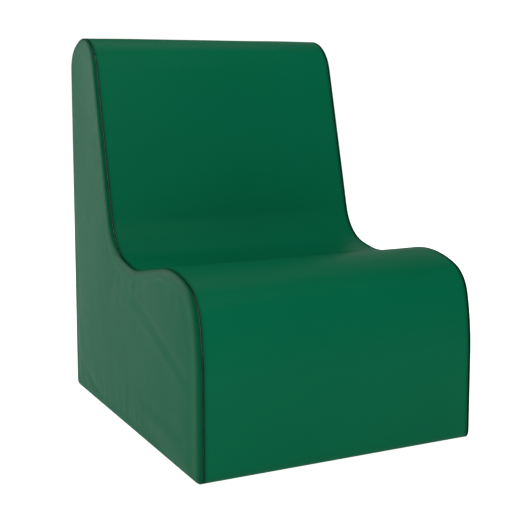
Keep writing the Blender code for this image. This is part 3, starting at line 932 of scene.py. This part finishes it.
def build_side(name, side, folds, seed):
    """Rings from the seam to the pole. The first turn out of the seam, the next round the border."""
    turn = np.linspace(0, math.pi / 2, CURL_ROWS + 1)
    out = [GAP / 2 + CURL * (1 - math.cos(a)) for a in turn]
    inset = [CURL * (1 - math.sin(a)) for a in turn]
    floor = list(inset)
    for a in np.linspace(0, math.pi / 2, ROLL_RINGS + 1)[1:]:
        out.append(GAP / 2 + CURL + (SIDE_PUFF + GAP / 2 - CURL) * math.sin(a))
        inset.append(ROLL * (1 - math.cos(a)))
        floor.append(FLOOR_ROLL * (1 - math.cos(a)))
    marks = RUN[:-1]
    rings = [along(marks, i, f) for i, f in zip(inset, floor)]
    border = rings[-1]
    shares = np.linspace(0, 1, INNER_RINGS + 1)[1:-1]
    rings += [border + (POLE - border) * s for s in shares]
    out = np.array(out + [out[-1]] * len(shares))[:, None] * np.ones(len(marks))
    y_z = np.stack(rings)
    y, z = y_z[..., 0], y_z[..., 1]
    room = ring_reach(np.arctan2(z - POLE[1], y - POLE[0])) - np.hypot(y - POLE[0], z - POLE[1])
    hold = np.clip(room / 0.03, 0, 1) ** 2 * (3 - 2 * np.clip(room / 0.03, 0, 1))
    field = panel_field(seed)
    height = read_field(*field, y, z) + 0.0003 * waves(y, z, seed + 1, 0.11)
    soft_hold = np.clip((room + 0.012) / 0.03, 0, 1)
    folds_height = sum(fold_height(y, z, *fold) for fold in folds)
    points = in_world(y_z, side * (HALF_SEAM + out + height * hold + folds_height * soft_hold))
    pole_height = read_field(*field, *POLE[:, None])[0] + 0.0003 * waves(*POLE[:, None], seed + 1, 0.11)[0]
    pole = in_world(POLE[None], np.array([side * (HALF_SEAM + out[-1, 0] + pole_height)]))
    near_seam = seam_mask(out - GAP / 2)
    faces = grid_faces(len(rings), len(marks), around=True)
    last = (len(rings) - 1) * len(marks)
    spokes = np.arange(len(marks))
    middle = len(rings) * len(marks)
    fan = np.stack([last + spokes, last + (spokes + 1) % len(marks), np.full(len(marks), middle)], -1)
    if side > 0:
        faces, fan = faces[:, ::-1], fan[:, ::-1]
    # The border mask below is painted shade: 1 in the seam's turn, fading to 0 across the rounded border.
    turned = np.concatenate([np.ones(len(turn)), np.cos(np.linspace(0, math.pi / 2, ROLL_RINGS + 1)[1:])])
    painted_border_shade = np.repeat(np.append(turned, np.zeros(len(rings) - len(turned))), len(marks))
    points = np.concatenate([points.reshape(-1, 3), pole])
    masks = {"near_seam": np.append(near_seam.ravel(), 0.0), "painted_border_shade_mask": np.append(painted_border_shade, 0.0)}
    return surface(name, points, [faces, fan], VINYL_FINISH, masks, points[:, 1:])


left_side = thicken(build_side("side_panel_left", -1, LEFT_FOLDS, 21))
right_side = thicken(build_side("side_panel_right", 1, RIGHT_FOLDS, 31))
print("side panels:", triangles(left_side), triangles(right_side), "triangles")

# %% [markdown]
# ## The rear panel and the skirt
#
# The rear of the cover has to open so that the foam can be taken out. The rear panel ends above the zip in a
# folded hem: the vinyl turns in, then back up over the tape, and one row of stitches holds it. The skirt below
# the zip does the same the other way up and then turns beneath the rear edge. Both paths are short outlines
# with round folds, carried across like the strip.

# %% Rear panel and skirt
PANEL_STEP = 0.006  # spacing of the points down a flat panel


def spaced(start, end, step=PANEL_STEP):
    """Evenly spaced points on a straight, without its two ends."""
    start, end = np.array(start, float), np.array(end, float)
    count = max(1, round(np.linalg.norm(end - start) / step))
    return start + np.linspace(0, 1, count + 1)[1:-1, None] * (end - start)


def hem_path(up):
    """(y, z) from the rear face round the folded edge and back over the tape.

    up is 1 above the zip, -1 below.
    """
    turn = np.linspace(0, math.pi / 2, 6)
    edge = ZIP_HEIGHT + up * WINDOW_HALF
    lie = TAPE_FACE + GAP
    outer = [DEPTH - HEM_FOLD * (1 - np.cos(turn)), edge + up * HEM_FOLD * (1 - np.sin(turn))]
    inner = [lie + HEM_FOLD * (1 - np.sin(turn)), edge + up * HEM_FOLD * (1 - np.cos(turn))]
    flange = ZIP_HEIGHT + up * (WINDOW_HALF + HEM_FLANGE)
    flat = spaced((lie, edge + up * HEM_FOLD), (lie, flange), 0.003)
    return np.concatenate([np.column_stack(outer), np.column_stack(inner), flat, [(lie, flange)]])


def rear_lift(path, seed):
    """A low, slow unevenness that dies away at every edge and at the hem."""
    across, _ = half_width_marks(HALF_SEAM, STRIP_COLUMNS)
    share = np.abs(across)[None, :] / HALF_SEAM
    z = path[:, 1:]
    hold = np.clip((z - ZIP_HEIGHT - 0.03) / 0.06, 0, 1) * np.clip((REAR_SEAM_HEIGHT - z) / 0.04, 0, 1)
    crown = 0.0006 * (1 - share**2)
    return (crown + 0.0004 * waves(z, across[None, :], seed, 0.15)) * hold * (1 - share**6)


def build_rear_panel():
    """From its seam under the strip's end, down the rear face, into its hem."""
    turn = np.linspace(0, math.pi / 2, CURL_ROWS + 1)
    top = REAR_SEAM_HEIGHT - GAP
    start = np.column_stack([np.full(len(turn), DEPTH), top - CURL + CURL * np.sin(turn[::-1])])
    hem = hem_path(1)
    path = np.concatenate([start, spaced(start[-1], hem[0]), hem])
    end_depth = np.zeros(len(path))
    end_depth[: len(turn)] = CURL * (1 - np.cos(turn[::-1]))
    curl_share = np.ones(len(path))
    curl_share[-len(hem) :] = 0.0
    return sewn_panel("rear_panel", path, end_depth, curl_share, rear_lift(path, 41), 0.0)


def build_skirt():
    """Its hem over the tape, down the rear face, round the bottom edge and a little way under."""
    hem = hem_path(-1)[::-1]
    marks = np.linspace(run_at(DEPTH, hem[-1, 1] - MARK), run_at(DEPTH - UNDER_EDGE, BASE_PROUD), 24)
    path = np.concatenate([hem, along(marks, 0.0)])
    curl_share = np.ones(len(path))
    curl_share[: len(hem)] = 0.0
    return sewn_panel("rear_skirt", path, np.zeros(len(path)), curl_share, np.zeros((len(path), 1)))


rear_panel = thicken(build_rear_panel())
skirt = thicken(build_skirt())
print("rear panel and skirt:", triangles(rear_panel), triangles(skirt), "triangles")

# %% [markdown]
# ## Stitches
#
# A lockstitch shows as short beads of thread with a tiny gap where the needle went in. One bead is a long
# ellipsoid of a few dozen faces, and the rows repeat it. The thread sinks by half into the soft vinyl.

# %% Stitches
STITCH_PITCH = 0.0036
STITCH_LENGTH = 0.0031
THREAD = 0.0005  # diameter
STITCH_INSET = 0.0045  # hem edge to its row of stitches


def ellipsoid(radii, rings=5, sides=8):
    """A closed ellipsoid along X: rings of points between two poles."""
    lean = np.linspace(0, math.pi, rings + 2)[1:-1, None]
    turn = np.linspace(0, 2 * math.pi, sides, endpoint=False)[None, :]
    body = np.stack([np.cos(lean) + 0 * turn, np.sin(lean) * np.cos(turn), np.sin(lean) * np.sin(turn)], -1)
    points = np.concatenate([body.reshape(-1, 3), [(1, 0, 0), (-1, 0, 0)]]) * radii
    spoke, nxt = np.arange(sides), (np.arange(sides) + 1) % sides
    last = (rings - 1) * sides
    first_cap = np.stack([np.full(sides, rings * sides), nxt, spoke], -1)
    last_cap = np.stack([np.full(sides, rings * sides + 1), last + spoke, last + nxt], -1)
    return points, [grid_faces(rings, sides, around=True)[:, ::-1], first_cap, last_cap]


def repeated(name, points, faces, places, finish):
    """One mesh with the same small shape at every place."""
    count = len(points)
    everywhere = places[:, None, :] + points[None, :, :]
    shift = (np.arange(len(places)) * count)[:, None, None]
    lists = [(part[None, :, :] + shift).reshape(-1, part.shape[1]) for part in faces]
    return surface(name, everywhere, lists, finish)


bead, bead_faces = ellipsoid((STITCH_LENGTH / 2, THREAD / 2, THREAD / 2))
reach = HALF_SEAM - 0.004
row_x = np.arange(-reach, reach, STITCH_PITCH)
rows = [ZIP_HEIGHT + up * (WINDOW_HALF + STITCH_INSET) for up in (1, -1)]
places = np.concatenate([np.column_stack([row_x, 0 * row_x + DEPTH / 2, 0 * row_x + z]) for z in rows])
stitches = repeated("hem_stitches", bead, bead_faces, places, THREAD_FINISH)
print("stitches:", len(places), "beads,", triangles(stitches), "triangles")

# %% [markdown]
# ## The base
#
# The base is a thicker cloth with rubber studs, so that the light chair does not slide. The cloth is drawn
# flat between its four seams. Each stud is a low dome of a few faces, set out on a square grid and standing on
# the floor, so the whole chair rests on them.

# %% Base
STUD_PITCH = 0.010
STUD_RADIUS = 0.0021
STUD_MARGIN = 0.008


def build_base_cloth():
    """A flat grid that faces the floor, its wall upwards."""
    across = np.linspace(base_low.x, base_high.x, 40)
    back = np.linspace(base_low.y, base_high.y, 50)
    x, y = np.meshgrid(across, back, indexing="ij")
    edge = np.minimum(HALF_SEAM - np.abs(x), np.minimum(y - base_low.y, base_high.y - y))
    z = BASE_PROUD + 0.0002 * np.clip(1 - edge / 0.004, 0, 1)
    points = np.stack([x, y, z], -1)
    faces = grid_faces(*x.shape)
    return surface("base_cloth", points, faces, CLOTH_FINISH, uv=points[..., :2])


def build_studs():
    """Low domes with a flat foot at floor level: three rings and a centre each."""
    sides = 8
    turn = np.linspace(0, 2 * math.pi, sides, endpoint=False)
    shape = [(STUD_RADIUS, BASE_PROUD + 0.0002), (0.8 * STUD_RADIUS, 0.00014), (0.55 * STUD_RADIUS, 0.0)]
    rings = [np.column_stack([r * np.cos(turn), r * np.sin(turn), 0 * turn + z]) for r, z in shape]
    points = np.concatenate([*rings, [(0, 0, 0), (0, 0, BASE_PROUD + 0.0002)]])
    spoke, nxt = np.arange(sides), (np.arange(sides) + 1) % sides
    foot = np.stack([np.full(sides, 3 * sides), 2 * sides + nxt, 2 * sides + spoke], -1)
    root = np.stack([np.full(sides, 3 * sides + 1), spoke, nxt], -1)
    x = np.arange(base_low.x + STUD_MARGIN, base_high.x - STUD_MARGIN, STUD_PITCH)
    y = np.arange(base_low.y + STUD_MARGIN, base_high.y - STUD_MARGIN, STUD_PITCH)
    x, y = np.meshgrid(x - (x[0] + x[-1]) / 2, y - (y[0] + y[-1]) / 2, indexing="ij")
    places = np.stack([x, y, 0 * x], -1).reshape(-1, 3)
    faces = [grid_faces(3, sides, around=True)[:, ::-1], foot, root]
    return repeated("base_studs", points, faces, places, CLOTH_FINISH)


base_cloth = thicken(build_base_cloth(), 0.0010)
studs = build_studs()
print("base:", triangles(base_cloth), "and", triangles(studs), "triangles")

# %% [markdown]
# ## The foam
#
# The three blocks are hidden, yet they are what holds the shape, so they are cut as finely as the cover. The
# whole body is made once from inner lines of the profile, a little in from the vinyl, and each block is what
# is left of it inside one box. The base block also loses the channel that the zip lies in.

# %% Foam
FOAM_TOP = 0.0015  # room for the cover around the profile
FOAM_SIDE = 0.0035  # room at the sides, where the cover creases
CUT_ROOM = 0.05  # how far a cutting box reaches past an outer face


def whole_foam(name, finish):
    """Rings from one side to the other over both rounded borders, with a flat cap at each end."""
    rings = []
    for side in (-1, 1):
        for turn in np.linspace(0, math.pi / 2, 7)[::side]:
            inset = FOAM_TOP + (ROLL - FOAM_TOP) * (1 - math.cos(turn))
            floor = FOAM_TOP + (FLOOR_ROLL - FOAM_TOP) * (1 - math.cos(turn))
            x = side * (HALF_SEAM + GAP + (SIDE_PUFF - FOAM_SIDE) * math.sin(turn))
            rings.append(in_world(whole_line(inset, floor), x))
    points = np.stack(rings)
    count = points.shape[1]
    last = (len(rings) - 1) * count
    caps = [np.arange(count)[None, ::-1], last + np.arange(count)[None, :]]
    return surface(name, points, [grid_faces(len(rings), count, around=True), *caps], finish)


def box_cutter(low, high):
    """A plain box used only to cut with."""
    x, y, z = np.meshgrid(*zip(low, high), indexing="ij")
    points = np.stack([x, y, z], -1).reshape(-1, 3)
    faces = np.array([(0, 1, 3, 2), (4, 6, 7, 5), (0, 4, 5, 1), (2, 3, 7, 6), (0, 2, 6, 4), (1, 5, 7, 3)])
    return surface("cutter", points, faces)


def cut(piece, low, high, operation):
    """Cuts a piece by a box and keeps the result as its mesh."""
    cutter = box_cutter(low, high)
    step = piece.modifiers.new("cut", "BOOLEAN")
    step.operation, step.object, step.solver = operation, cutter, "EXACT"
    shown = piece.evaluated_get(bpy.context.evaluated_depsgraph_get())
    mesh = bpy.data.meshes.new_from_object(shown)
    piece.modifiers.clear()
    piece.data = mesh
    bpy.data.objects.remove(cutter, do_unlink=True)


def build_foam(node_name, piece_name):
    """One block: the whole foam inside the box of its CAD node."""
    low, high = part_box(node_name)
    piece = whole_foam(piece_name, FOAM_FINISHES[node_name])
    near, far = np.array(low) - CUT_ROOM, np.array(high) + CUT_ROOM
    for axis, lowest, highest in FOAM_CUTS[node_name]:
        near[axis], far[axis] = max(near[axis], lowest), min(far[axis], highest)
    cut(piece, near, far, "INTERSECT")
    if node_name == "base_foam_block":
        guard_low, guard_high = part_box("zip_guard")
        channel = (-1, guard_low.y - GAP, guard_low.z - GAP), (1, 1, guard_high.z + GAP)
        cut(piece, *channel, "DIFFERENCE")
    return finish_mesh(piece, FOAM_FINISHES[node_name])


FAR = 9.0  # further than any face
glue_height = (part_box("base_foam_block")[1].z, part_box("seat_foam_pad")[0].z)
glue_back = (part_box("seat_foam_pad")[1].y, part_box("back_foam_block")[0].y)
FOAM_CUTS = {
    "base_foam_block": [(2, -FAR, glue_height[0])],
    "seat_foam_pad": [(2, glue_height[1], FAR), (1, -FAR, glue_back[0])],
    "back_foam_block": [(2, glue_height[1], FAR), (1, glue_back[1], FAR)],
}
FOAM_NAMES = {"base_foam_block": "base_foam", "seat_foam_pad": "seat_foam", "back_foam_block": "back_foam"}
foams = {node_name: build_foam(node_name, piece) for node_name, piece in FOAM_NAMES.items()}
print("foam:", {piece.name: triangles(piece) for piece in foams.values()})

# %% [markdown]
# ## The zip
#
# Each half of a coil zip is one nylon wire wound into a flat spiral and sewn to its tape. The wire is a tube
# carried along a helix: round the coil it goes up and over, and along the zip it moves one pitch a turn. Both
# coils are wound alike, each inside the box of its own node.

# %% Zip coils
COIL_PITCH = 0.0023
WIRE = 0.00058  # diameter
TURN_POINTS = 14


def build_coil(name, node_name):
    """A wire wound along X inside the box of its CAD node.

    Its centre line is x = pitch times turns, with y and z round an ellipse that fills the box.
    """
    low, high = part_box(node_name)
    middle = (low + high) / 2
    turns = (high.x - low.x - WIRE) / COIL_PITCH
    angle = 2 * math.pi * np.linspace(0, turns, int(turns * TURN_POINTS))
    y_reach, z_reach = (high.y - low.y - WIRE) / 2, (high.z - low.z - WIRE) / 2
    centre = np.column_stack([
        low.x + WIRE / 2 + COIL_PITCH * angle / (2 * math.pi),
        middle.y + y_reach * np.sin(angle),
        middle.z + z_reach * np.cos(angle),
    ])
    ahead = np.gradient(centre, axis=0)
    ahead /= np.linalg.norm(ahead, axis=1)[:, None]
    outward = np.column_stack([0 * angle, z_reach * np.sin(angle), y_reach * np.cos(angle)])
    outward -= ahead * (outward * ahead).sum(1)[:, None]
    outward /= np.linalg.norm(outward, axis=1)[:, None]
    beside = np.cross(ahead, outward)
    sides = 6
    round_wire = np.linspace(0, 2 * math.pi, sides, endpoint=False)[None, :, None]
    spread_out = np.cos(round_wire) * outward[:, None, :] + np.sin(round_wire) * beside[:, None, :]
    points = centre[:, None, :] + WIRE / 2 * spread_out
    count = len(centre)
    caps = [np.arange(sides)[None, ::-1], (count - 1) * sides + np.arange(sides)[None, :]]
    return surface(name, points, [grid_faces(count, sides, around=True), *caps], COIL_FINISH)


coils = {f"zip_{name}": build_coil(name, f"zip_{name}") for name in ("coil_upper", "coil_lower")}
print("coils:", {piece.name: triangles(piece) for piece in coils.values()})

# %% [markdown]
# ## Slider and stops
#
# The measured slider, puller and stops already have their true shapes, which the joints need, but their
# edges are as sharp as a drawing. Tumbling rounds every edge of a real one. A merged copy of each gets a
# small bevel and stands for its node.

# %% Metal parts
import bmesh

EDGE_ROUND = 0.00018  # radius that tumbling leaves


def tumbled(node_name, name):
    """A copy of a CAD node, its triangles merged into flat faces, with softened edges."""
    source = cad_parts[node_name]
    mesh = bpy.data.meshes.new(name)
    work = bmesh.new()
    work.from_mesh(source.data)
    bmesh.ops.remove_doubles(work, verts=work.verts, dist=0.00001)
    bmesh.ops.dissolve_limit(work, angle_limit=math.radians(2), verts=work.verts, edges=work.edges)
    work.to_mesh(mesh)
    work.free()
    piece = bpy.data.objects.new(name, mesh)
    SCENE.collection.objects.link(piece)
    soften = piece.modifiers.new("tumbled", "BEVEL")
    soften.width = EDGE_ROUND
    soften.segments = 3
    soften.limit_method = "ANGLE"
    soften.angle_limit = math.radians(30)
    return finish_mesh(piece, METAL_FINISH)


METAL_PARTS = {
    "zip_slider": ("slider_body", "zip_slider"),
    "zip_puller": ("pull_tab", "zip_puller"),
    "zip_bottom_stop": ("stop_at_open_end", "chair"),
    "zip_top_stop_upper": ("stop_upper", "chair"),
    "zip_top_stop_lower": ("stop_lower", "chair"),
}
metals = {node_name: tumbled(node_name, name) for node_name, (name, _) in METAL_PARTS.items()}
print("metal:", {piece.name: triangles(piece) for piece in metals.values()})

# %% [markdown]
# ## Joining the looks to the frame
#
# Each new piece rides on the body that carries it and stands for its CAD node.

# %% Bodies and what each piece stands for
PANELS = [
    (strip, "cover_seat_back_strip"),
    (left_side, "cover_left_panel"),
    (right_side, "cover_right_panel"),
    (rear_panel, "cover_rear_panel"),
    (skirt, "cover_rear_skirt"),
]
FOAM_SLOTS = {"base_foam_block": "firm_foam", "seat_foam_pad": "soft_foam", "back_foam_block": "back_foam"}


def joined(piece, body, slot, *stands_for):
    """Rides on a body and stands for its nodes. slot is not used."""
    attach(piece, body)
    if stands_for:
        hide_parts(*stands_for)


for piece, node_name in PANELS:
    joined(piece, "chair", "green_vinyl", node_name)
for node_name, piece in foams.items():
    joined(piece, "chair", FOAM_SLOTS[node_name], node_name)
for node_name, piece in coils.items():
    joined(piece, "chair", "zip_coil", node_name)
for node_name, piece in metals.items():
    joined(piece, METAL_PARTS[node_name][1], "zip_metal", node_name)
joined(stitches, "chair", "zip_tape")
joined(base_cloth, "chair", "non_slip_cloth", "cover_base_panel")
joined(studs, "chair", "non_slip_cloth")

for node_name in ("zip_guard", "zip_tape_upper", "zip_tape_lower"):
    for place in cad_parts[node_name].material_slots:
        place.material = TAPE_FINISH
shown = [name for name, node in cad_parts.items() if not node.hide_render]
print("carried over from the frame:", shown)
